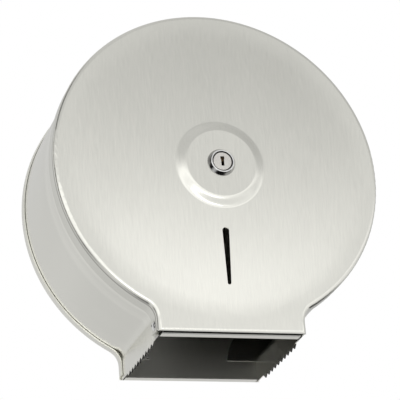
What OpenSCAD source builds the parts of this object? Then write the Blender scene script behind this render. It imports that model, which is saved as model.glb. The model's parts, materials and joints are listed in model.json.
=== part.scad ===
// Jumbo toilet roll dispenser in stainless sheet: a round case that screws to the wall,
// a bottom-hinged cover with a centre cam lock, and a turning hub on a fixed spindle.
// Frame: the spindle axis is the Y axis, the wall is the plane y = 0, the viewer is at -Y, +Z is up.
// Most pieces are drawn flat, with heights measured from the wall, and turned upright by from_wall().

/* [Drum] */
// Diameter of the round drum over its sheet metal
drum_d = 269; // [256:1:280]
// Depth from the wall to the flat rim of the cover
case_depth = 120; // [114:1:130]

/* [Chute] */
// Width of the paper chute over the cover's flanges
chute_w = 121; // [110:1:130]
// Length of the chute's straight sides, from the hollow corners down to the lower edge
chute_run = 11.6; // [11.6:0.2:20]
// Radius of the hollow corner between drum and chute
neck_r = 14; // [10:1:18]

/* [Cover] */
// Thickness of the cover sheet
cover_t = 1.2; // [0.9:0.1:1.5]
// Radius of the pressed edge round the cover, measured outside
cover_edge_r = 3.5; // [2.5:0.5:5]
// Depth of the cover's folded flange
cover_flange = 16; // [14:1:20]
// Depth of the lip folded under the chute
lip_depth = 11; // [9:1:13]
// Width of the hem folded back on the lip
hem_w = 5; // [3:0.5:7]
// Side clearance between cover flange and side wall
cover_gap = 1; // [0.9:0.1:1.5]
// Clearance between the side wall's front edge and the cover sheet
front_gap = 0.8; // [0.5:0.1:1.5]
// Width of the open notch at each end of the lip
lip_notch = 4.2; // [4:0.1:6]

/* [Dome, centre boss and sight slot] */
// Height of the cover's shallow dome at the foot of the boss
crown_rise = 4; // [1:0.5:6]
// Width of the round in which the dome runs out to the flat
crown_blend = 20; // [14:1:40]
// Diameter of the boss where it leaves the dome
boss_d = 75; // [66:1:84]
// Diameter of the boss's flat top
boss_top_d = 56; // [48:1:60]
// Height of the boss
boss_rise = 3.5; // [2:0.5:5]
// Distance from the spindle axis to the top of the sight slot
slot_top = 53.5; // [48:0.5:60]
// Length of the sight slot
slot_len = 47; // [36:1:54]
// Width of the sight slot at its upper end
slot_w = 5.5; // [4:0.5:7]
// Width of the sight slot at its lower end
slot_w_low = 3; // [2:0.5:4]

/* [Back plate] */
// Thickness of the back plate
back_t = 1.2; // [1:0.1:1.5]
// Depth of the back plate's folded flange
back_flange = 8; // [7:0.5:14]
// Depth of the flange under the chute
back_lip = 8; // [6:0.5:10]
// Clearance between the back plate's flange and the side wall
back_gap = 0.3; // [0.2:0.1:0.6]
// Diameter of the raised plateau that carries the spindle
plateau_d = 96; // [84:1:110]
// Height of the plateau
plateau_rise = 3; // [2.5:0.5:4]
// Distance between wall holes, across and up
wall_hole_pitch = 140; // [120:1:150]
// Diameter of a wall hole
wall_hole_d = 6.5; // [5:0.5:8]

/* [Side wall] */
// Thickness of the side wall
wall_t = 1; // [0.8:0.1:1.2]
// Radius of the side wall's bend in each hollow corner, tighter than that of the pressed sheets
wall_bend_r = 9; // [7:0.5:16]
// Width of the rim folded inwards against the back plate
rim_w = 25; // [8:1:28]
// Height of the rim's two ends above the chute's lower edge
rim_up = 18; // [10:1:30]
// Number of paper teeth at each end of the band
teeth = 10; // [6:1:10]
// Distance from one paper tooth to the next
tooth_pitch = 8; // [6:0.5:8]
// Height of a paper tooth
tooth_h = 3; // [2:0.5:4]
// Distance from the cover's face to the first tooth
tooth_setback = 20; // [20:1:24]

/* [Hinge] */
// Distance of the hinge axis behind the cover's face
hinge_back = 10; // [9:0.5:10.5]
// Height of the hinge axis above the chute's lower edge
hinge_up = 8; // [7.5:0.5:8.5]
// Diameter of the hinge rivet's shank
hinge_d = 5; // [4:0.5:5.5]
// Diameter of the hinge rivet's head
hinge_head_d = 8; // [7.5:0.5:9]
// Height of the hinge rivet's head
hinge_head_h = 1.8; // [1.2:0.2:2.4]
// Radial running clearance of the cover on the hinge rivet
hinge_play = 0.05; // [0.03:0.01:0.09]
// Thickness of the backing washer
burr_t = 0.8; // [0.6:0.1:1]
// Height of the formed end of the hinge rivet
hinge_tail_h = 1.4; // [1:0.2:2]

/* [Spindle] */
// Outer diameter of the spindle tube
spindle_d = 32; // [31:0.5:34]
// Wall thickness of the spindle tube
spindle_t = 1.2; // [1:0.1:1.5]
// Diameter of the plate under the spindle
flange_d = 70; // [64:1:76]
// Thickness of the plate under the spindle
flange_t = 2; // [1.5:0.5:3]
// Diameter of the circle of spindle rivets
rivet_circle = 54; // [50:1:56]
// Diameter of a spindle rivet's shank
rivet_d = 4; // [3:0.5:5]
// Diameter of the keeper cap's rim
cap_d = 37; // [36:0.5:39]
// Thickness of the keeper cap
cap_t = 1.5; // [1:0.5:2]

/* [Hub] */
// Outer diameter of the hub, which a roll's core slides over
hub_d = 44; // [43:0.5:48]
// Diameter of the hub's rear flange
hub_flange_d = 68; // [58:1:80]
// Thickness of the hub's rear flange
hub_flange_t = 2.5; // [2:0.5:4]
// Wall thickness of the hub's skin and sleeve
hub_wall = 1.8; // [1.5:0.1:2]
// Number of ribs between skin and sleeve
hub_ribs = 6; // [4:1:8]
// Radial running clearance of the hub on the spindle
hub_play = 0.05; // [0.03:0.01:0.09]
// Thickness of the front thrust washer
thrust_t = 1; // [0.8:0.1:1.5]
// End play of the hub between its washers
hub_end_play = 0.3; // [0.2:0.1:0.6]

/* [Lock] */
// Diameter of the lock's bezel at the cover
bezel_d = 22.7; // [21.5:0.1:24]
// Diameter of the bezel's front edge
bezel_top_d = 18.6; // [18:0.1:20]
// Height of the bezel
bezel_h = 4; // [3:0.5:5]
// Width of the bevel round the bezel's bore
bezel_bevel = 0.6; // [0.3:0.1:0.8]
// Diameter of the lock's barrel
barrel_d = 19; // [18.5:0.5:20]
// Length of the barrel behind the boss's top
barrel_len = 22.5; // [22:0.5:26]
// Diameter of the turning plug
plug_d = 16; // [15.5:0.1:16]
// Radial running clearance of the plug in the barrel
plug_play = 0.05; // [0.03:0.01:0.09]
// Height of the key slot in the plug
key_h = 8; // [7:0.5:8.5]
// Width of the key slot in the plug
key_w = 2.4; // [2:0.1:2.6]
// Width of the bevel round the plug's face
plug_bevel = 0.7; // [0.3:0.1:1]
// Number of wafers in the plug
wafers = 4; // [3:1:4]
// Width across the flats of the lock nut
nut_af = 24; // [23:1:26]
// Thickness of the lock nut
nut_t = 5; // [4:0.5:6]
// Thickness of the lock washer
lock_washer_t = 1; // [0.8:0.1:1.2]
// Reach of the cam from the lock's axis
cam_reach = 12.5; // [11.5:0.1:12.6]
// Width of the cam
cam_w = 8; // [7.5:0.1:8]
// Thickness of the cam
cam_t = 2; // [1.5:0.1:2.5]
// Width across the flats of the plug's square tail
tail_af = 5.6; // [5:0.1:5.8]
// Diameter of the cam screw's head
screw_head_d = 9; // [8:0.5:9.5]

/* [Hidden] */

// Overrun of a cut past the face it opens, and roundness of the true circles
over = 1;
fine = 96;
small = 48;

// Outline of drum and chute: radii, half width, and the centre of each hollow corner
drum_r = drum_d / 2;
chute_half = chute_w / 2;
neck_x = chute_half + neck_r;
// A hollow corner bites this little into the drum's circle, so that the two rounds cross cleanly
neck_bite = 0.04;
neck_z = -sqrt(pow(drum_r + neck_r - neck_bite, 2) - pow(neck_x, 2));
// Distance from the spindle axis down to the chute's lower edge
chute_drop = chute_run - neck_z;
// The sheet under the hollow corners reaches this far inside the chute
neck_lap = 9;

// The side wall lies this far inside the outline, and ends this far from the wall
wall_inset = cover_t + cover_gap;
wall_front = case_depth - cover_t - front_gap;
// The back plate lies this far inside the outline, so that its flange fits round the side wall
back_inset = wall_inset - back_t - back_gap;
// Radius of its fold, measured outside: the inner round ends where the side wall stands
back_edge_r = back_t + back_gap;

// Hinge axis: height over the wall and height in Z, and the round end of the side wall about it
hinge_h = case_depth - hinge_back;
hinge_z = hinge_up - chute_drop;
lobe_r = wall_front - hinge_h;
// Outer radius of the washers on the hinge rivet, which stay on the flat of the chute's side
hinge_washer_r = 0.8 * hinge_d;
// The rivet's formed end, and the hollow in its head
hinge_tail_d = 1.5 * hinge_d;
hinge_hollow_d = 0.4 * hinge_d;
// Side clearance of the cover's flange to spacer and rivet head
flange_clear = 0.1;

// Dome of the cover: its rim, where it turns to run out, and its steepest slope there
crown_r = drum_r - cover_edge_r - 1;
crown_turn = crown_r - crown_blend;
crown_slope = 2 * crown_rise / (crown_r - pow(boss_d / 2, 2) / crown_turn);

// Saw-tooth line of the side wall's lower edge
tooth_valley_z = -chute_drop - 0.5;
tooth_first = case_depth - tooth_setback;

// Spindle stack, all heights over the wall
plateau_h = plateau_rise + back_t;
flange_top = plateau_h + flange_t;
boss_top_h = case_depth + crown_rise + boss_rise;
barrel_end = boss_top_h - barrel_len;
// Clear space between the lock's barrel and the keeper cap, and between the cap and the cam
barrel_clear = 1.2;
cam_clear = 0.8;
cap_front = barrel_end - barrel_clear;
cap_rear = cap_front - cap_t;
cam_front = cap_rear - cam_clear;
cam_rear = cam_front - cam_t;
spindle_bore_r = spindle_d / 2 - spindle_t;
// The cap's spigot and the flange's spigot inside the tube
spigot_t = 1;
spigot_len = 5;
// Clearance of cam and screw head in the cap's keyhole
keyhole_clear = 1.2;

// Hub stack
// The rear thrust washer lifts the hub over the spindle's rivet heads
rivet_head_h = 1.6;
rear_thrust_t = rivet_head_h + 0.6;
hub_rear = flange_top + rear_thrust_t;
hub_front = cap_rear - thrust_t - hub_end_play;
hub_bore_r = spindle_d / 2 + hub_play;
hub_web_t = 3;

// Lock: the plug's face lies a little behind the bezel's, and it turns on a seat at the barrel's rear
plug_r = plug_d / 2;
plug_sink = 0.5;
plug_face = boss_top_h + bezel_h - plug_sink;
plug_seat = 2;
plug_step = 2;
// The key slot is wider at its head
key_head_w = key_w + 0.8;
key_head_h = 0.3 * key_h;
// Straight foot of the bezel, the round of its front edge, and the rim of the washer behind the cover
bezel_foot = 0.8;
bezel_round = 0.4;
lock_washer_rim = 2.5;
// Height of the chamfer on the nut's corners
nut_chamfer = 1;
cam_washer_t = 0.8;
screw_head_h = 3;
screw_d = 4;
screw_hole = 6;
recess_w = 1.2;
// Wafers: size, spacing, play in their slots, and the window that the key passes through
wafer_w = 0.72 * plug_r;
wafer_h = 1.5 * plug_r;
wafer_t = 1.2;
wafer_pitch = 2.6;
wafer_front = boss_top_h - 3;
wafer_play = 0.1;
window_w = key_w + 0.4;
window_h = 0.8 * key_h;
window_shift = 0.4;

// Spindle rivets: domed head, and the formed end in the plateau's hollow
rivet_head_d = 2 * rivet_d;
rivet_tail_d = 1.6 * rivet_d;
rivet_tail_h = 1.4;

sheet_colour = [0.80, 0.79, 0.77];
wall_colour = [0.76, 0.76, 0.75];
steel_colour = [0.66, 0.67, 0.68];
chrome_colour = [0.86, 0.87, 0.88];
zinc_colour = [0.72, 0.73, 0.74];
nylon_colour = [0.90, 0.89, 0.85];
brass_colour = [0.80, 0.62, 0.30];
hub_colour = [0.36, 0.37, 0.38];

// Turns a piece drawn flat upright, so that its height becomes the distance from the wall
module from_wall(h = 0) {
    rotate([90, 0, 0]) translate([0, 0, h]) children();
}

// Places a piece drawn along Z on the hinge axis, pointing outwards on one side (1 right, -1 left)
module on_hinge(side, x) {
    translate([side * x, -hinge_h, hinge_z]) rotate([0, side * 90, 0]) children();
}

module ring(outer_r, inner_r, t) {
    difference() {
        cylinder(r = outer_r, h = t, $fn = fine);
        translate([0, 0, -over]) cylinder(r = inner_r, h = t + 2 * over, $fn = fine);
    }
}

// Disc from z = 0 up to z = depth, its edge at z = 0 rounded if edge is not 0
module drum_disc(r, depth, edge) {
    rotate_extrude($fn = fine) difference() {
        square([r, depth]);
        if (edge > 0) corner_cut(r, -1, edge);
    }
}

// Chute block with rounded edges at z = 0 along both sides and along the bottom
module soft_block(half, bottom, depth, edge) {
    intersection() {
        rotate([-90, 0, 0]) translate([0, -depth, bottom]) linear_extrude(-bottom)
            round_foot(half, depth, edge);
        rotate([90, 0, 90]) translate([0, 0, -half - over]) linear_extrude(2 * (half + over))
            difference() {
                translate([bottom, 0]) square([-bottom, depth]);
                corner_cut(bottom, 1, edge);
            }
    }
}

// Profile of the block across its width, its rounded corners at the far end from the origin
module round_foot(half, depth, edge) {
    difference() {
        translate([-half, 0]) square([2 * half, depth]);
        for (side = [-1, 1]) translate([0, depth]) mirror([0, 1]) corner_cut(side * half, -side, edge);
    }
}

// What a rounded corner of a given radius leaves of a square corner at x = at, y = 0
module corner_cut(at, inward, edge) {
    difference() {
        translate([inward > 0 ? at - over : at - edge, -over]) square([edge + over, edge + over]);
        translate([at + inward * edge, edge]) circle(r = edge, $fn = small);
    }
}

// Filling of one hollow corner, cut by a round that flares at z = 0 where the edge is rounded
module neck(side, inset, hollow, depth, edge) {
    half = chute_half - inset;
    x = half + hollow;
    z = -sqrt(pow(drum_r - inset + hollow - neck_bite, 2) - pow(x, 2));
    mirror([side < 0 ? 1 : 0, 0, 0]) difference() {
        linear_extrude(depth) polygon([
            [half - neck_lap, z], [half, z], [x, z], [half - neck_lap, (half - neck_lap) * z / x]
        ]);
        translate([x, z, 0]) {
            translate([0, 0, -over]) cylinder(r = hollow, h = depth + 2 * over, $fn = fine);
            if (edge > 0) rotate_extrude($fn = fine) difference() {
                translate([hollow - over, -over]) square([edge + over, edge + over]);
                translate([hollow + edge, edge]) circle(r = edge, $fn = small);
            }
        }
    }
}

// The outline of drum and chute as a solid from z = 0 to z = depth, rounded round its edge at z = 0
module outline_solid(inset, bottom, depth, edge) {
    union() {
        drum_disc(drum_r - inset, depth, edge);
        soft_block(chute_half - inset, bottom, depth, edge);
        for (side = [-1, 1]) neck(side, inset, neck_r + inset, depth, edge);
    }
}

// Pressed pan: the outline in sheet of thickness t, with its flange pointing up from z = 0
module pan(inset, t, flange, edge) {
    difference() {
        outline_solid(inset, -chute_drop, flange, edge);
        translate([0, 0, t]) outline_solid(inset + t, t - chute_drop, flange, edge - t);
    }
}

// Cuts that a pan needs at the chute: the lip is shorter than the side flanges, and its ends are open.
// The notches start just inside the sheet, so that they open the folds too.
module chute_cuts(t, flange, lip, notch) {
    inner = chute_half - notch;
    skin = 0.1;
    translate([-inner, -chute_drop - over, lip]) cube([2 * inner, t + 2 * over, flange]);
    for (side = [-1, 1])
        translate([side > 0 ? inner : -chute_half - over, -chute_drop - over, t + skin])
            cube([notch + over, t + 2 * over, flange]);
}

// Straight band of the outline, without rounded edges, its bottom open
module band(inset, t, depth) {
    difference() {
        plain_outline(inset, -chute_drop - 2 * tooth_h, depth);
        translate([0, 0, -over]) plain_outline(inset + t, -chute_drop - 4 * tooth_h, depth + 2 * over);
    }
}

// The side wall's outline, with square edges and the tighter bend in the hollow corners
module plain_outline(inset, bottom, depth) {
    half = chute_half - inset;
    union() {
        drum_disc(drum_r - inset, depth, 0);
        translate([-half, bottom, 0]) cube([2 * half, -bottom, depth]);
        for (side = [-1, 1]) neck(side, inset, wall_bend_r + inset - wall_inset, depth, 0);
    }
}

module back_plate() {
    color(wall_colour) from_wall() difference() {
        union() {
            pan(back_inset, back_t, back_flange, back_edge_r);
            plateau(plateau_rise + back_t, 0);
        }
        plateau(plateau_rise, back_t);
        chute_cuts(back_t, back_flange, back_lip, lip_notch);
        for (x = [-1, 1], z = [-1, 1])
            translate([x, z, 0] * wall_hole_pitch / 2 - [0, 0, over])
                cylinder(d = wall_hole_d, h = back_t + 2 * over, $fn = small);
        spindle_rivet_places() translate([0, 0, -over])
            cylinder(d = rivet_d, h = plateau_h + 2 * over, $fn = small);
    }
}

// Truncated cone that is added to the back plate in front and taken from it behind
module plateau(height, shrink) {
    flank = 6;
    r = plateau_d / 2 - shrink;
    translate([0, 0, shrink > 0 ? -over : 0]) rotate_extrude($fn = fine) polygon([
        [0, 0], [r, 0], [r, shrink > 0 ? over : back_t / 2],
        [r - flank, height + (shrink > 0 ? over : 0)], [0, height + (shrink > 0 ? over : 0)]
    ]);
}

module spindle_rivet_places() {
    for (a = [45:90:315]) rotate(a) translate([rivet_circle / 2, 0, 0]) children();
}

// Band with an inward rim at the back and a saw-tooth line across its two free ends
module side_wall() {
    color(wall_colour) difference() {
        from_wall(back_t) union() {
            band(wall_inset, wall_t, wall_front - back_t);
            difference() {
                band(wall_inset, rim_w, wall_t);
                translate([-chute_half, -chute_drop - 4 * tooth_h, -over])
                    cube([2 * chute_half, 4 * tooth_h + rim_up, wall_t + 2 * over]);
            }
        }
        below_saw_line();
        for (side = [-1, 1]) on_hinge(side, chute_half - wall_inset - wall_t - over)
            cylinder(d = hinge_d, h = wall_t + 2 * over, $fn = small);
    }
}

// Everything below the side wall's lower edge: plain at the back, teeth, then a round about the hinge
module below_saw_line() {
    span = teeth * tooth_pitch;
    plain_z = hinge_z - lobe_r;
    low = -chute_drop - 6 * tooth_h;
    saw = [for (i = [0:teeth - 1]) let (h = tooth_first - i * tooth_pitch) each [
        [h, tooth_valley_z], [h - tooth_pitch / 2, tooth_valley_z - tooth_h]
    ]];
    arc = [for (a = [0:6:90]) [hinge_h, hinge_z] + lobe_r * [cos(a), -sin(a)]];
    fold_h = back_edge_r + 0.5;
    fold_z = back_edge_r + 0.5 - chute_drop;
    edge = concat([[case_depth, hinge_z], [wall_front, hinge_z]], arc, [[tooth_first, plain_z]], saw,
        [[tooth_first - span, tooth_valley_z], [tooth_first - span, plain_z], [fold_h, plain_z],
        [fold_h, fold_z], [-over, fold_z]]);
    rotate([90, 0, -90]) translate([0, 0, -chute_half - over]) linear_extrude(2 * (chute_half + over))
        polygon(concat(edge, [[-over, low], [case_depth, low]]));
}

module spindle_flange() {
    color(steel_colour) from_wall(plateau_h) difference() {
        union() {
            cylinder(d = flange_d, h = flange_t, $fn = fine);
            cylinder(r = spindle_bore_r, h = flange_t + spigot_len, $fn = fine);
        }
        translate([0, 0, -over])
            cylinder(r = spindle_bore_r - spigot_t, h = flange_t + spigot_len + 2 * over, $fn = fine);
        spindle_rivet_places() translate([0, 0, -over])
            cylinder(d = rivet_d, h = flange_t + 2 * over, $fn = small);
    }
}

// Each rivet has a domed head on the flange and a formed end in the plateau's hollow
module spindle_rivets() {
    color(zinc_colour) from_wall() spindle_rivet_places() {
        translate([0, 0, plateau_h - back_t]) cylinder(d = rivet_d, h = back_t + flange_t, $fn = small);
        translate([0, 0, flange_top]) dome(rivet_head_d, rivet_head_h);
        translate([0, 0, plateau_h - back_t - rivet_tail_h])
            cylinder(d = rivet_tail_d, h = rivet_tail_h, $fn = small);
    }
}

// Shallow spherical head standing on z = 0
module dome(d, h) {
    r = (d * d / 4 + h * h) / (2 * h);
    rotate_extrude($fn = small) intersection() {
        translate([0, h - r]) circle(r = r, $fn = fine);
        square([d / 2, h]);
    }
}

module spindle_tube() {
    color(steel_colour) from_wall(flange_top)
        ring(spindle_d / 2, spindle_bore_r, cap_rear - flange_top);
}

// End cap of the spindle with a keyhole for the cam; its spigot sits in the tube
module keeper_cap() {
    color(zinc_colour) from_wall(cap_rear) difference() {
        union() {
            cylinder(d = cap_d, h = cap_t, $fn = fine);
            translate([0, 0, -spigot_len]) ring(spindle_bore_r, spindle_bore_r - spigot_t, spigot_len);
        }
        translate([0, 0, -over]) {
            cylinder(d = screw_head_d + 2 * keyhole_clear, h = cap_t + 2 * over, $fn = fine);
            translate([-cam_w / 2 - keyhole_clear / 2, -cam_reach - keyhole_clear / 2, 0])
                cube([cam_w + keyhole_clear, cam_reach + keyhole_clear / 2, cap_t + 2 * over]);
        }
    }
}

module hub_washer_rear() {
    color(nylon_colour) from_wall(flange_top) ring(hub_d / 2 - hub_wall, spindle_d / 2, rear_thrust_t);
}

module hub_washer_front() {
    color(nylon_colour) from_wall(cap_rear - thrust_t) ring(cap_d / 2, spindle_d / 2, thrust_t);
}

// Moulded hub: sleeve and skin joined by ribs and a rear web, open towards the front
module roll_hub() {
    sleeve_r = hub_bore_r + hub_wall;
    skin_r = hub_d / 2 - hub_wall;
    len = hub_front - hub_rear;
    color(hub_colour) from_wall(hub_rear) union() {
        ring(sleeve_r, hub_bore_r, len);
        ring(hub_d / 2, skin_r, len);
        ring(hub_flange_d / 2, hub_bore_r, hub_flange_t);
        ring(skin_r + hub_wall / 2, sleeve_r - hub_wall / 2, hub_web_t);
        for (i = [0:hub_ribs - 1]) rotate(i * 360 / hub_ribs)
            translate([sleeve_r - hub_wall / 2, -hub_wall / 2, 0])
                cube([skin_r - sleeve_r + hub_wall, hub_wall, len - hub_wall]);
    }
}

// Pressed cover with its flange, boss, sight slot, lip and hem
module cover_panel() {
    color(sheet_colour) difference() {
        union() {
            from_wall(case_depth) mirror([0, 0, 1]) difference() {
                pan(0, cover_t, cover_flange, cover_edge_r);
                chute_cuts(cover_t, cover_flange, lip_depth, lip_notch);
            }
            from_wall(case_depth - cover_t) dome_form();
            hem();
        }
        from_wall(case_depth - 2 * cover_t) dome_form();
        from_wall(case_depth - cover_t - over) sight_slot(cover_t + crown_rise + 2 * over);
        from_wall(case_depth) cylinder(d = barrel_d, h = crown_rise + boss_rise + over, $fn = fine);
        for (side = [-1, 1]) on_hinge(side, chute_half - cover_t - over)
            cylinder(d = hinge_d + 2 * hinge_play, h = cover_t + 2 * over, $fn = small);
    }
}

// Height of the dome over the flat at a distance from the axis: two parabolas that meet where it turns
function crown_at(r) = r < crown_turn
    ? crown_slope * (crown_r - r * r / crown_turn) / 2
    : crown_slope * pow(crown_r - r, 2) / (2 * crown_blend);

// Solid under dome and boss: the boss's flank is an S-shaped curve, and it starts one sheet below the flat
module dome_form() {
    steps = 12;
    top_r = boss_top_d / 2;
    base_r = boss_d / 2;
    foot = cover_t + crown_rise;
    flank = [for (i = [0:steps - 1]) let (u = i / steps)
        [top_r + u * (base_r - top_r), foot + boss_rise * (1 + cos(180 * u)) / 2]];
    dome = [for (i = [0:steps]) let (r = base_r + i / steps * (crown_r - base_r))
        [r, cover_t + crown_at(r)]];
    rotate_extrude($fn = fine)
        polygon(concat([[0, 0], [0, foot + boss_rise]], flank, dome, [[crown_r, 0]]));
}

// Tapered slot with round ends, its straight sides touching both end rounds
module sight_slot(t) {
    steps = 16;
    r = slot_w / 2;
    low_r = slot_w_low / 2;
    run = slot_len - r - low_r;
    lean = asin((r - low_r) / run);
    top_z = -slot_top - r;
    upper = [for (i = [0:steps]) let (a = -lean + i * (180 + 2 * lean) / steps)
        [r * cos(a), top_z + r * sin(a)]];
    lower = [for (i = [0:steps]) let (a = 180 + lean + i * (180 - 2 * lean) / steps)
        [low_r * cos(a), top_z - run + low_r * sin(a)]];
    linear_extrude(t) polygon(concat(upper, lower));
}

// Edge of the lip folded back on itself
module hem() {
    half = chute_half - lip_notch;
    translate([-half, lip_depth - hem_w - case_depth, cover_t - chute_drop])
        cube([2 * half, hem_w, cover_t]);
}

// Hinge rivet: hollow domed head outside, shank through flange and wall, formed end inside
module hinge_rivet(side) {
    inner = chute_half - wall_inset - wall_t - burr_t;
    head = chute_half + flange_clear;
    color(steel_colour) difference() {
        union() {
            on_hinge(side, head) dome(hinge_head_d, hinge_head_h);
            on_hinge(side, inner) cylinder(d = hinge_d, h = head - inner, $fn = small);
            on_hinge(side, inner - hinge_tail_h) cylinder(d = hinge_tail_d, h = hinge_tail_h, $fn = small);
        }
        on_hinge(side, head - over) cylinder(d = hinge_hollow_d, h = hinge_head_h + 2 * over, $fn = small);
    }
}

// Spacer on the rivet between wall and flange
module hinge_spacer(side) {
    color(nylon_colour) on_hinge(side, chute_half - wall_inset)
        ring(hinge_washer_r, hinge_d / 2, cover_gap - flange_clear);
}

module hinge_burr(side) {
    color(zinc_colour) on_hinge(side, chute_half - wall_inset - wall_t - burr_t)
        ring(hinge_washer_r, hinge_d / 2, burr_t);
}

// Bezel with a bevelled edge, and the barrel behind it with the plug's stepped bore
module lock_body() {
    bore_r = plug_r + plug_play;
    color(chrome_colour) from_wall() difference() {
        union() {
            translate([0, 0, boss_top_h]) rotate_extrude($fn = fine) polygon([
                [0, 0], [bezel_d / 2, 0], [bezel_d / 2, bezel_foot],
                [bezel_top_d / 2 + bezel_round, bezel_h - bezel_round], [bezel_top_d / 2, bezel_h],
                [0, bezel_h]
            ]);
            translate([0, 0, barrel_end]) cylinder(d = barrel_d, h = barrel_len, $fn = fine);
        }
        translate([0, 0, barrel_end + plug_seat])
            cylinder(r = bore_r, h = barrel_len + bezel_h + over, $fn = fine);
        translate([0, 0, barrel_end - over])
            cylinder(r = bore_r - plug_step, h = plug_seat + 2 * over, $fn = fine);
        translate([0, 0, boss_top_h + bezel_h]) rotate_extrude($fn = fine) polygon([
            [bore_r - over, -bezel_bevel - over], [bore_r + bezel_bevel + over, over], [bore_r - over, over]
        ]);
    }
}

module lock_washer() {
    color(zinc_colour) from_wall(boss_top_h - cover_t - lock_washer_t)
        ring(barrel_d / 2 + lock_washer_rim, barrel_d / 2, lock_washer_t);
}

// Hexagon nut, its rear corners chamfered by a cone
module lock_nut() {
    corner_r = nut_af / 2 / cos(30) + 0.2;
    color(zinc_colour) from_wall(boss_top_h - cover_t - lock_washer_t - nut_t) difference() {
        intersection() {
            cylinder(d = nut_af / cos(30), h = nut_t, $fn = 6);
            rotate_extrude($fn = fine) polygon([
                [0, 0], [nut_af / 2 - 0.4, 0], [corner_r, nut_chamfer], [corner_r, nut_t], [0, nut_t]
            ]);
        }
        translate([0, 0, -over]) cylinder(d = barrel_d, h = nut_t + 2 * over, $fn = fine);
    }
}

// Turning plug with the key slot, the wafer slots and a square tail for the cam
module lock_plug() {
    rear = barrel_end + plug_seat + plug_play;
    color(chrome_colour) from_wall() difference() {
        union() {
            translate([0, 0, rear]) cylinder(r = plug_r, h = plug_face - plug_bevel - rear, $fn = fine);
            translate([0, 0, plug_face - plug_bevel]) rotate_extrude($fn = fine)
                polygon([[0, 0], [plug_r, 0], [plug_r - plug_bevel, plug_bevel], [0, plug_bevel]]);
            translate([0, 0, barrel_end - plug_play])
                cylinder(r = plug_r - plug_step, h = rear - barrel_end + 2 * plug_play, $fn = fine);
            translate([-tail_af / 2, -tail_af / 2, cam_rear])
                cube([tail_af, tail_af, barrel_end - cam_rear]);
        }
        translate([-key_w / 2, -key_h / 2, rear + 1]) cube([key_w, key_h, plug_face - rear]);
        translate([-key_head_w / 2, key_h / 2 - key_head_h, rear + 1])
            cube([key_head_w, key_head_h, plug_face - rear]);
        translate([0, 0, cam_rear - over]) cylinder(d = screw_d, h = screw_hole, $fn = small);
        for (i = [0:wafers - 1]) wafer_slot(i, wafer_play);
    }
}

// Slot across the plug that a wafer slides in, and the wafer itself when grow is 0
module wafer_slot(i, grow) {
    translate([-wafer_w / 2 - grow, -wafer_h / 2 - grow, wafer_front - i * wafer_pitch - wafer_t - grow])
        cube([wafer_w + 2 * grow, wafer_h + 2 * grow, wafer_t + 2 * grow]);
}

// Brass wafers, each with a window for the key at a height of its own
module lock_wafers() {
    color(brass_colour) from_wall() for (i = [0:wafers - 1]) difference() {
        wafer_slot(i, 0);
        translate([-window_w / 2, window_shift * (i % 3) - key_h / 2, wafer_front - (i + 1) * wafer_pitch])
            cube([window_w, window_h, 2 * wafer_pitch]);
    }
}

// Cam with a rounded end, hanging down when the lock is open
module lock_cam() {
    color(zinc_colour) from_wall(cam_rear) difference() {
        union() {
            cylinder(d = cam_w, h = cam_t, $fn = small);
            translate([-cam_w / 2, cam_w / 2 - cam_reach, 0]) cube([cam_w, cam_reach - cam_w / 2, cam_t]);
            translate([0, cam_w / 2 - cam_reach, 0]) cylinder(d = cam_w, h = cam_t, $fn = small);
        }
        translate([-tail_af / 2, -tail_af / 2, -over]) cube([tail_af, tail_af, cam_t + 2 * over]);
    }
}

module cam_washer() {
    color(zinc_colour) from_wall(cam_rear - cam_washer_t) ring(cam_w / 2, screw_d / 2, cam_washer_t);
}

// Pan-head screw with a cross recess, driven into the plug's tail
module cam_screw() {
    head_rear = cam_rear - cam_washer_t - screw_head_h;
    recess = 0.5 * screw_head_d;
    color(steel_colour) from_wall() difference() {
        union() {
            translate([0, 0, head_rear]) cylinder(d = screw_head_d, h = screw_head_h, $fn = small);
            translate([0, 0, head_rear])
                cylinder(d = screw_d, h = screw_head_h + cam_washer_t + cam_t, $fn = small);
        }
        for (a = [0, 90]) rotate(a) translate([-recess / 2, -recess_w / 2, head_rear - over])
            cube([recess, recess_w, over + screw_head_h / 2]);
    }
}

back_plate();
side_wall();
spindle_flange();
spindle_rivets();
spindle_tube();
keeper_cap();
hub_washer_rear();
hub_washer_front();
hinge_rivet(-1);  // hinge_rivet_left
hinge_rivet(1);  // hinge_rivet_right
hinge_spacer(-1);  // hinge_spacer_left
hinge_spacer(1);  // hinge_spacer_right
hinge_burr(-1);  // hinge_burr_left
hinge_burr(1);  // hinge_burr_right
roll_hub();
cover_panel();
lock_body();
lock_washer();
lock_nut();
lock_plug();
lock_wafers();
lock_cam();
cam_washer();
cam_screw();
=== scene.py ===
"""Looks of a round stainless dispenser for a large paper roll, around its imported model. Lengths in metres."""

import json
import math

import bpy
from mathutils import Matrix, Vector

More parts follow.
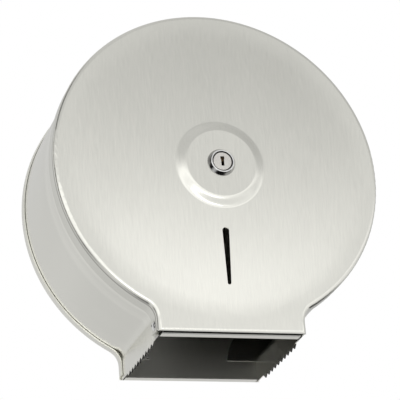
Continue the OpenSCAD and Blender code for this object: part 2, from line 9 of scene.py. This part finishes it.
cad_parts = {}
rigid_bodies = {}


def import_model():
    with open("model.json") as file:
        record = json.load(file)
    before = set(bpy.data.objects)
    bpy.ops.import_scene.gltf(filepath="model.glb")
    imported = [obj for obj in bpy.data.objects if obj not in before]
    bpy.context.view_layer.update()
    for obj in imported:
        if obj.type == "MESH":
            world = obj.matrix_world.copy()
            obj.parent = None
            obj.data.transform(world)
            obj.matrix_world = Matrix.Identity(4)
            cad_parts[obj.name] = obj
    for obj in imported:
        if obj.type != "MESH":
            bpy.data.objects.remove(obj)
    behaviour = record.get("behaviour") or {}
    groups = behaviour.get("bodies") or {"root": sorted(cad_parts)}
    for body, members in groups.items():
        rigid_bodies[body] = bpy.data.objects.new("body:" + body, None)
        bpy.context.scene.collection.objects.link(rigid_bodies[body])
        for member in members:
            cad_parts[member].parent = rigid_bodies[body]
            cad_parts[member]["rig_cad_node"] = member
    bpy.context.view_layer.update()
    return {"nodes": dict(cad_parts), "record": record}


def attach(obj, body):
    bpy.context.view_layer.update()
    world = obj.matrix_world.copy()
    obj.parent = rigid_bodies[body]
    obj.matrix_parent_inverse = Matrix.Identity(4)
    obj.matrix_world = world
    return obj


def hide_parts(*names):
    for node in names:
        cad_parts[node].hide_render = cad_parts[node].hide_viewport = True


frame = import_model()

MM = 0.001

# Camera: it looks up at the cover from the lower left
EYE = Vector((-0.5135, -1.5990, -0.6701))
AIM = Vector((0.0024, -0.0594, -0.0034))
ROLL = math.radians(-4.907)
LENS_MM = 192.95
SENSOR_MM = 36

# Tone of each sheet against its distance from the wall, as (millimetres, tone) pairs
DEPTH_SPAN = 130.0
# A painted dark line behind the cover's fold stands in for the shade where the fold turns into the flange; the
# flange behind it is a tenth darker than the face
COVER_TONES = [(0.0, 0.90), (115.2, 0.90), (115.7, 0.35), (116.4, 0.35), (117.0, 1.0), (130.0, 1.0)]
# Painted shade darkens the band where the cover's flange overhangs it, lighter bands painted across it stand in
# for reflection streaks, and it is a little darker right beside the wall
BAND_TONES = [
    (0.0, 0.90), (2.4, 0.90), (4.0, 1.04), (9.0, 1.04), (14.0, 1.0), (78.0, 0.98), (84.0, 1.03), (94.0, 1.0),
    (98.0, 1.07), (101.5, 0.92), (105.0, 0.62), (130.0, 0.62),
]
TRAY_TONES = [(0.0, 1.04), (2.0, 1.10), (130.0, 1.0)]

# Painted shade on the sheared ends of the band's inward rim, standing in for the dark interior they reflect:
# their height, how far from the wall they reach, and how dark the painted shade is
RIM_END_Z = -122.0 * MM
RIM_END_REACH = 2.6 * MM
RIM_END_HALF = 0.5 * MM
RIM_END_PAINTED_SHADE = 0.15

# Tone of the lock's chrome against the radius in millimetres: a dark joint between bezel and plug, and painted
# shade on the outer flank, standing in for the dark reflection it shows
RING_SPAN = 12.0
BEZEL_JOINT_AND_PAINTED_SHADE = [
    (0.0, 1.0), (7.9, 1.0), (8.05, 0.05), (8.45, 0.05), (8.6, 1.0), (9.5, 1.0), (9.8, 0.55), (12.0, 0.55),
]

# Way that the brushing runs, and how often the lathe's rings come on the plug
UPRIGHT_GRAIN = (0, -0.35, 1)
LATHE_PITCH = 0.22 * MM

# Edges sharper than this are rounded on a softened copy
SHARP_ABOVE = math.radians(30)
# Points closer than this are merged, and faces within this angle are one face
MERGE_WITHIN = 0.002 * MM
FLAT_WITHIN = math.radians(0.2)

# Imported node, name of its softened copy and width of the rounded edges in millimetres
SOFT_EDGES = [
    ("cover_panel", "cover_sheet", 0.12), ("side_wall", "side_band", 0.10), ("back_plate", "back_tray", 0.12),
    ("lock_body", "lock_bezel", 0.08), ("lock_plug", "key_plug", 0.05), ("lock_nut", "barrel_nut", 0.15),
    ("lock_cam", "latch_cam", 0.12), ("keeper_cap", "keyhole_cap", 0.12), ("roll_hub", "core_hub", 0.20),
    ("spindle_flange", "spindle_plate", 0.12), ("spindle_tube", "tube", 0.12),
]

FLOOR_Z = -1.0
FLOOR_SIZE = 12.0
FLOOR_GREY = 0.80
# Share of plain white in what the camera sees of the floor; the rest is lit, so the shadow stays
FLOOR_WHITE = 0.6
WHITE = (1, 1, 1, 1)

# What the steel sees of the floor's painted glow, as (distance from the middle over half the floor, tone): a
# painted shadow right under the middle
FLOOR_AHEAD = [(0.06, 0.01), (0.09, 0.10), (0.13, 0.85), (0.3, 0.90), (1.0, 1.05)]
FLOOR_BEHIND = [(0.09, 0.01), (0.12, 0.2), (0.17, 0.7), (1.0, 0.74)]
# What the steel sees of the studio, as (height from straight down to straight up, tone)
STUDIO_AHEAD = [
    (0.0, 1.0), (0.50, 1.08), (0.56, 1.26), (0.60, 1.30), (0.618, 1.22), (0.65, 0.98), (0.70, 0.76),
    (0.742, 0.67), (0.787, 0.60), (1.0, 0.62),
]
STUDIO_BEHIND = [(0.0, 0.7), (0.45, 0.72), (0.60, 0.68), (0.80, 0.66), (1.0, 0.62)]


def place_camera():
    data = bpy.data.cameras.new("camera")
    data.lens = LENS_MM
    data.sensor_width = SENSOR_MM
    camera = bpy.data.objects.new("camera", data)
    bpy.context.scene.collection.objects.link(camera)
    turn = (AIM - EYE).to_track_quat("-Z", "Y").to_matrix() @ Matrix.Rotation(ROLL, 3, "Z")
    camera.matrix_world = Matrix.Translation(EYE) @ turn.to_4x4()
    bpy.context.scene.camera = camera
    bpy.context.scene.view_settings.view_transform = "Standard"


place_camera()


class Graph:
    """A node tree with short ways to add and join its nodes."""

    def __init__(self, tree):
        self.tree = tree
        tree.nodes.clear()

    def add(self, kind, **settings):
        node = self.tree.nodes.new(kind)
        for name, value in settings.items():
            setattr(node, name, value)
        return node

    def join(self, source, target):
        self.tree.links.new(source, target)

    def feed(self, socket, value):
        """A socket of another node is joined, and anything else is set on the socket."""
        if isinstance(value, bpy.types.NodeSocket):
            self.join(value, socket)
        else:
            socket.default_value = value

    def math(self, operation, first, second=0.0, clamp=False):
        node = self.add("ShaderNodeMath", operation=operation, use_clamp=clamp)
        self.feed(node.inputs[0], first)
        self.feed(node.inputs[1], second)
        return node.outputs[0]

    def vector(self, operation, first, second=(0, 0, 0)):
        node = self.add("ShaderNodeVectorMath", operation=operation)
        self.feed(node.inputs[0], first)
        self.feed(node.inputs[1], second)
        return node.outputs[0]

    def scaled(self, vector, factor):
        node = self.add("ShaderNodeVectorMath", operation="SCALE")
        self.feed(node.inputs[0], vector)
        self.feed(node.inputs["Scale"], factor)
        return node.outputs[0]

    def length(self, vector):
        node = self.add("ShaderNodeVectorMath", operation="LENGTH")
        self.join(vector, node.inputs[0])
        return node.outputs["Value"]

    def split(self, vector):
        """The X, Y and Z of a vector, by name."""
        node = self.add("ShaderNodeSeparateXYZ")
        self.join(vector, node.inputs[0])
        return node.outputs

    def ramp(self, value, stops):
        """Grey or coloured steps over a value from 0 to 1, as (place, colour) pairs."""
        node = self.add("ShaderNodeValToRGB")
        elements = node.color_ramp.elements
        while len(elements) < len(stops):
            elements.new(0.5)
        for element, (place, colour) in zip(elements, stops):
            element.position = place
            element.color = (*colour, 1) if hasattr(colour, "__len__") else (colour, colour, colour, 1)
        self.feed(node.inputs[0], value)
        return node.outputs[0]

    def noise(self, vector, scale, detail=3.0, rough=0.55):
        node = self.add("ShaderNodeTexNoise")
        self.feed(node.inputs["Vector"], vector)
        node.inputs["Scale"].default_value = scale
        node.inputs["Detail"].default_value = detail
        node.inputs["Roughness"].default_value = rough
        return node.outputs["Fac"]

    def between(self, value, low, high, start=0.0, end=1.0):
        """Low up to the start, high from the end, and evenly from one to the other between them."""
        node = self.add("ShaderNodeMapRange")
        self.feed(node.inputs["Value"], value)
        node.inputs["From Min"].default_value = start
        node.inputs["From Max"].default_value = end
        node.inputs["To Min"].default_value = low
        node.inputs["To Max"].default_value = high
        return node.outputs[0]

    def mix(self, factor, first, second):
        node = self.add("ShaderNodeMix", data_type="RGBA")
        self.feed(node.inputs[0], factor)
        self.feed(node.inputs[6], first)
        self.feed(node.inputs[7], second)
        return node.outputs[2]


def surface(name, metallic=1.0):
    """A new material: its graph, its shader and its object coordinates."""
    material = bpy.data.materials.new(name)
    material.use_nodes = True
    graph = Graph(material.node_tree)
    shader = graph.add("ShaderNodeBsdfPrincipled")
    shader.inputs["Metallic"].default_value = metallic
    output = graph.add("ShaderNodeOutputMaterial")
    graph.join(shader.outputs[0], output.inputs["Surface"])
    place = graph.add("ShaderNodeTexCoord").outputs["Object"]
    return material, graph, shader, place


def bump(graph, shader, height, strength, distance):
    node = graph.add("ShaderNodeBump")
    node.inputs["Strength"].default_value = strength
    node.inputs["Distance"].default_value = distance
    graph.join(height, node.inputs["Height"])
    graph.join(node.outputs["Normal"], shader.inputs["Normal"])


def stretched(graph, place, sizes):
    """Coordinates in which one unit is as long, along each axis, as the sizes say."""
    return graph.vector("MULTIPLY", place, tuple(1 / size for size in sizes))


def clouded(graph, shader, clouds, colour, darkest):
    """The colour, down to its darkest share where the clouds are thin."""
    stops = [(0.3, [darkest * channel for channel in colour]), (0.7, colour)]
    graph.join(graph.ramp(clouds, stops), shader.inputs["Base Color"])


def roughened(graph, shader, pattern, low, high):
    graph.join(graph.between(pattern, low, high), shader.inputs["Roughness"])


def from_axis(graph, place):
    """Distance from the axis that spindle and lock share."""
    return graph.length(graph.vector("MULTIPLY", place, (1, 0, 1)))


def paint_rim_end_shade(graph, parts, tone):
    """Painted shade: the sheared ends of the band's inward rim, beside the wall, are painted dark."""
    off = graph.math("ABSOLUTE", graph.math("SUBTRACT", parts["Z"], RIM_END_Z))
    near_wall = graph.math("GREATER_THAN", parts["Y"], -RIM_END_REACH)
    ends = graph.math("MULTIPLY", near_wall, graph.math("LESS_THAN", off, RIM_END_HALF))
    loss = graph.math("MULTIPLY", ends, 1 - RIM_END_PAINTED_SHADE)
    return graph.math("MULTIPLY", tone, graph.math("SUBTRACT", 1.0, loss))


def brushed_steel(name, colour, rough, lengths, anisotropy, spread, dents, depth_tones, painted_rim_shade=False):
    """Sheet with an upright brushed grain, whose marks have the lengths along X, Y and Z."""
    material, graph, shader, place = surface(name)
    lines = graph.noise(stretched(graph, place, lengths), 1.0, 4.0, 0.7)
    patches = graph.noise(stretched(graph, place, (45 * MM, 45 * MM, 70 * MM)), 1.0, 2.0, 0.5)
    grained = graph.between(lines, 1 - spread, 1 + spread)
    mottled = graph.math("ADD", grained, graph.between(patches, -0.03, 0.03))
    parts = graph.split(place)
    depth = graph.math("DIVIDE", parts["Y"], -DEPTH_SPAN * MM, clamp=True)
    bands = graph.ramp(depth, [(at / DEPTH_SPAN, band) for at, band in depth_tones])
    tone = graph.math("MULTIPLY", mottled, bands)
    # Painted shade on the rim ends, standing in for the dark interior they reflect
    if painted_rim_shade:
        tone = paint_rim_end_shade(graph, parts, tone)
    graph.join(graph.scaled(colour, tone), shader.inputs["Base Color"])
    roughened(graph, shader, lines, rough - 0.05, rough + 0.05)
    shader.inputs["Anisotropic"].default_value = anisotropy
    normal = graph.add("ShaderNodeNewGeometry").outputs["Normal"]
    graph.join(graph.vector("CROSS_PRODUCT", normal, UPRIGHT_GRAIN), shader.inputs["Tangent"])
    waves = graph.noise(place, 14.0, 1.0, 0.4)
    height = graph.math("ADD", graph.math("MULTIPLY", lines, 0.02), graph.math("MULTIPLY", waves, dents))
    bump(graph, shader, height, 0.5, 0.6 * MM)
    return material


def plated_steel(name, colour, rough):
    """Bright plating with faint clouds and fine rolling marks."""
    material, graph, shader, place = surface(name)
    clouds = graph.noise(place, 220.0, 3.0)
    clouded(graph, shader, clouds, colour, 0.88)
    roughened(graph, shader, clouds, rough - 0.06, rough + 0.08)
    bump(graph, shader, graph.noise(place, 1400.0, 2.0), 0.12, 0.1 * MM)
    return material


def chrome(name, colour, rough, rings):
    """Polished chrome with hair scratches. rings gives its tone against the radius in millimetres."""
    material, graph, shader, place = surface(name)
    scratches = graph.noise(stretched(graph, place, (0.4 * MM, 3 * MM, 4 * MM)), 1.0, 3.0)
    reach = graph.math("DIVIDE", from_axis(graph, place), RING_SPAN * MM, clamp=True)
    ring_tone = graph.ramp(reach, [(at / RING_SPAN, tone) for at, tone in rings])
    tone = graph.math("MULTIPLY", graph.between(scratches, 0.95, 1.03), ring_tone)
    graph.join(graph.scaled(colour, tone), shader.inputs["Base Color"])
    roughened(graph, shader, scratches, rough, rough + 0.05)
    bump(graph, shader, scratches, 0.05, 0.05 * MM)
    return material


def turned_metal(name, colour, rough):
    """Plug face: fine rings left by the lathe round the lock's axis."""
    material, graph, shader, place = surface(name)
    rings = graph.math("SINE", graph.math("MULTIPLY", from_axis(graph, place), 2 * math.pi / LATHE_PITCH))
    haze = graph.noise(place, 600.0, 3.0)
    clouded(graph, shader, haze, colour, 0.9)
    roughened(graph, shader, haze, rough - 0.04, rough + 0.06)
    bump(graph, shader, graph.math("ADD", graph.math("MULTIPLY", rings, 0.5), haze), 0.15, 0.03 * MM)
    return material


def moulded(name, colour, rough, grain_scale, depth):
    """Moulded plastic: slight colour clouds and a fine eroded grain."""
    material, graph, shader, place = surface(name, metallic=0.0)
    clouded(graph, shader, graph.noise(place, 60.0, 2.0), colour, 0.9)
    grain = graph.noise(place, grain_scale, 3.0)
    roughened(graph, shader, grain, rough - 0.05, rough + 0.08)
    shader.inputs["Specular IOR Level"].default_value = 0.45
    bump(graph, shader, grain, 0.35, depth)
    return material


# Finish of each material slot
FINISHES = {
    "cover_sheet": brushed_steel("cover_steel", (0.80, 0.795, 0.738), 0.25, (0.8 * MM, 0.8 * MM, 14 * MM),
                                 anisotropy=0.5, spread=0.09, dents=0.25, depth_tones=COVER_TONES),
    "case_sheet": brushed_steel("case_steel", (0.775, 0.77, 0.718), 0.24, (40 * MM, 1.1 * MM, 40 * MM),
                                anisotropy=0.2, spread=0.045, dents=0.4, depth_tones=BAND_TONES,
                                painted_rim_shade=True),
    "spindle_steel": plated_steel("tube_steel", (0.62, 0.62, 0.61), 0.28),
    "rivet_steel": plated_steel("rivet_steel", (0.84, 0.84, 0.82), 0.14),
    "zinc_plate": plated_steel("zinc_plating", (0.70, 0.71, 0.70), 0.30),
    "lock_chrome": chrome("lock_chrome", (0.86, 0.86, 0.85), 0.04, BEZEL_JOINT_AND_PAINTED_SHADE),
    # The wafers are painted far darker than brass: partly tarnish, partly painted shade from the lock's dark
    # inside
    "wafer_brass": plated_steel("wafer_brass", (0.13, 0.09, 0.05), 0.40),
    "nylon": moulded("nylon", (0.80, 0.78, 0.72), 0.45, 900.0, 0.03 * MM),
    "hub_plastic": moulded("hub_plastic", (0.055, 0.058, 0.062), 0.50, 1600.0, 0.05 * MM),
}
# Nodes whose finish differs from their slot's: the flat of the tray and the plug's turned face
OWN_FINISHES = {
    "back_plate": brushed_steel("tray_steel", (0.775, 0.77, 0.718), 0.34, (1.1 * MM, 40 * MM, 30 * MM),
                                anisotropy=0.2, spread=0.02, dents=0.3, depth_tones=TRAY_TONES),
    "lock_plug": turned_metal("plug_metal", (0.78, 0.76, 0.72), 0.28),
}
SLOT_OF = {row["node"]: row["material_slot"] for row in frame["record"]["subparts"]}
BODY_OF = {node: body for body, nodes in frame["record"]["behaviour"]["bodies"].items() for node in nodes}


def finish_with(piece, material):
    piece.data.materials.clear()
    piece.data.materials.append(material)


def finish_of(node):
    return OWN_FINISHES.get(node, FINISHES[SLOT_OF[node]])


for node, piece in frame["nodes"].items():
    finish_with(piece, finish_of(node))


def pick(piece):
    """Makes one object the only selected and the active one."""
    for thing in bpy.context.selected_objects:
        thing.select_set(False)
    piece.select_set(True)
    bpy.context.view_layer.objects.active = piece


def apply_modifiers(piece):
    pick(piece)
    for modifier in list(piece.modifiers):
        bpy.ops.object.modifier_apply(modifier=modifier.name)


def copy_of(node, name):
    """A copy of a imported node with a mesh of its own."""
    piece = frame["nodes"][node].copy()
    piece.data = piece.data.copy()
    piece.parent = None
    del piece["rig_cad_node"]
    piece.name = name
    bpy.context.scene.collection.objects.link(piece)
    return piece


def merge(piece):
    """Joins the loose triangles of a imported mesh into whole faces."""
    pick(piece)
    bpy.ops.object.mode_set(mode="EDIT")
    bpy.ops.mesh.select_all(action="SELECT")
    bpy.ops.mesh.remove_doubles(threshold=MERGE_WITHIN)
    bpy.ops.mesh.dissolve_limited(angle_limit=FLAT_WITHIN)
    bpy.ops.object.mode_set(mode="OBJECT")


def round_edges(piece, width):
    bevel = piece.modifiers.new("edges", "BEVEL")
    bevel.width = width
    bevel.segments = 2
    bevel.limit_method = "ANGLE"
    bevel.angle_limit = SHARP_ABOVE
    apply_modifiers(piece)
    bpy.ops.object.shade_smooth_by_angle(angle=SHARP_ABOVE)
    weights = piece.modifiers.new("weights", "WEIGHTED_NORMAL")
    weights.keep_sharp = True
    apply_modifiers(piece)


# Softened copies: sharp edges slightly rounded, as a pressed or cut sheet's are
for node, name, width in SOFT_EDGES:
    soft = copy_of(node, name)
    merge(soft)
    round_edges(soft, width * MM)
    finish_with(soft, finish_of(node))
    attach(soft, BODY_OF[node])
    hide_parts(node)


def left_gap(graph, parts, reach=1.0):
    """Tone of the dark gap between the wall behind and the bright front, straight to the left."""
    off = graph.math("ABSOLUTE", graph.math("ADD", parts["Y"], 0.045 * reach))
    strip = graph.between(off, 0.04, 1.0, start=0.16 * reach, end=0.26 * reach)
    aside = graph.between(parts["X"], 0.0, 1.0, start=-0.6 * reach, end=-0.3 * reach)
    return graph.math("MAXIMUM", strip, aside)


def right_gap(graph, parts):
    """Tone of a dark wedge of the floor, to the right and a little behind."""
    slope = graph.math("DIVIDE", parts["Y"], graph.math("MAXIMUM", parts["X"], 0.05))
    off = graph.math("ABSOLUTE", graph.math("ADD", slope, -0.5))
    wedge = graph.between(off, 0.03, 1.0, start=0.65, end=0.95)
    far = graph.between(parts["X"], 0.0, 1.0, start=2.2, end=3.2)
    return graph.math("MAXIMUM", wedge, far)


def floor_paint():
    """Pale to the camera. To the steel it glows as painted light: dark right under the object as a painted
    shadow, bright ahead and grey behind.
    """
    paint = bpy.data.materials.new("floor_paint")
    paint.use_nodes = True
    graph = Graph(paint.node_tree)
    place = graph.add("ShaderNodeTexCoord").outputs["Object"]
    parts = graph.split(place)
    away = graph.math("DIVIDE", graph.length(place), FLOOR_SIZE / 2)
    front = graph.between(parts["Y"], 1.0, 0.0, start=-0.8, end=0.8)
    tone = graph.mix(front, graph.ramp(away, FLOOR_BEHIND), graph.ramp(away, FLOOR_AHEAD))
    gaps = graph.math("MULTIPLY", left_gap(graph, parts, reach=4.0), right_gap(graph, parts))
    light = graph.add("ShaderNodeLightPath").outputs
    glow = graph.add("ShaderNodeEmission")
    graph.join(graph.mix(light["Is Camera Ray"], graph.scaled(tone, gaps), WHITE), glow.inputs["Color"])
    matt = graph.add("ShaderNodeBsdfDiffuse")
    matt.inputs["Color"].default_value = (FLOOR_GREY, FLOOR_GREY, FLOOR_GREY, 1)
    camera_share = graph.math("MULTIPLY", light["Is Camera Ray"], FLOOR_WHITE)
    blend = graph.add("ShaderNodeMixShader")
    graph.join(graph.math("ADD", camera_share, light["Is Glossy Ray"], clamp=True), blend.inputs[0])
    graph.join(matt.outputs[0], blend.inputs[1])
    graph.join(glow.outputs[0], blend.inputs[2])
    output = graph.add("ShaderNodeOutputMaterial")
    graph.join(blend.outputs[0], output.inputs["Surface"])
    return paint


def lay_floor():
    bpy.ops.mesh.primitive_plane_add(size=FLOOR_SIZE, location=(0, 0, FLOOR_Z))
    floor = bpy.context.active_object
    floor.name = "floor"
    finish_with(floor, floor_paint())


def surroundings():
    """White to the camera; to the object, a soft studio that is brightest low in front."""
    world = bpy.data.worlds.new("studio")
    bpy.context.scene.world = world
    world.use_nodes = True
    graph = Graph(world.node_tree)
    parts = graph.split(graph.add("ShaderNodeTexCoord").outputs["Generated"])
    height = graph.between(parts["Z"], 0.0, 1.0, start=-1.0)
    front = graph.between(parts["Y"], 1.0, 0.0, start=-0.7, end=0.2)
    tone = graph.mix(front, graph.ramp(height, STUDIO_BEHIND), graph.ramp(height, STUDIO_AHEAD))
    across = graph.between(parts["X"], 1.06, 0.88, end=0.6)
    glow = graph.scaled(tone, graph.math("MULTIPLY", across, left_gap(graph, parts)))
    light = graph.add("ShaderNodeLightPath").outputs
    white = graph.math("MAXIMUM", light["Is Camera Ray"], light["Is Transmission Ray"])
    background = graph.add("ShaderNodeBackground")
    graph.join(graph.mix(white, glow, WHITE), background.inputs["Color"])
    output = graph.add("ShaderNodeOutputWorld")
    graph.join(background.outputs[0], output.inputs["Surface"])


def soft_box(name, place, target, size, watts):
    """A rectangular lamp turned to a target."""
    data = bpy.data.lights.new(name, "AREA")
    data.shape = "RECTANGLE"
    data.size, data.size_y = size
    data.energy = watts
    lamp = bpy.data.objects.new(name, data)
    lamp.location = place
    lamp.rotation_euler = (Vector(target) - Vector(place)).to_track_quat("-Z", "Y").to_euler()
    bpy.context.scene.collection.objects.link(lamp)


lay_floor()
surroundings()
soft_box("low_front_lamp", place=(-0.2, -2.6, -0.75), target=(0, 0, 0), size=(1.6, 0.4), watts=5)
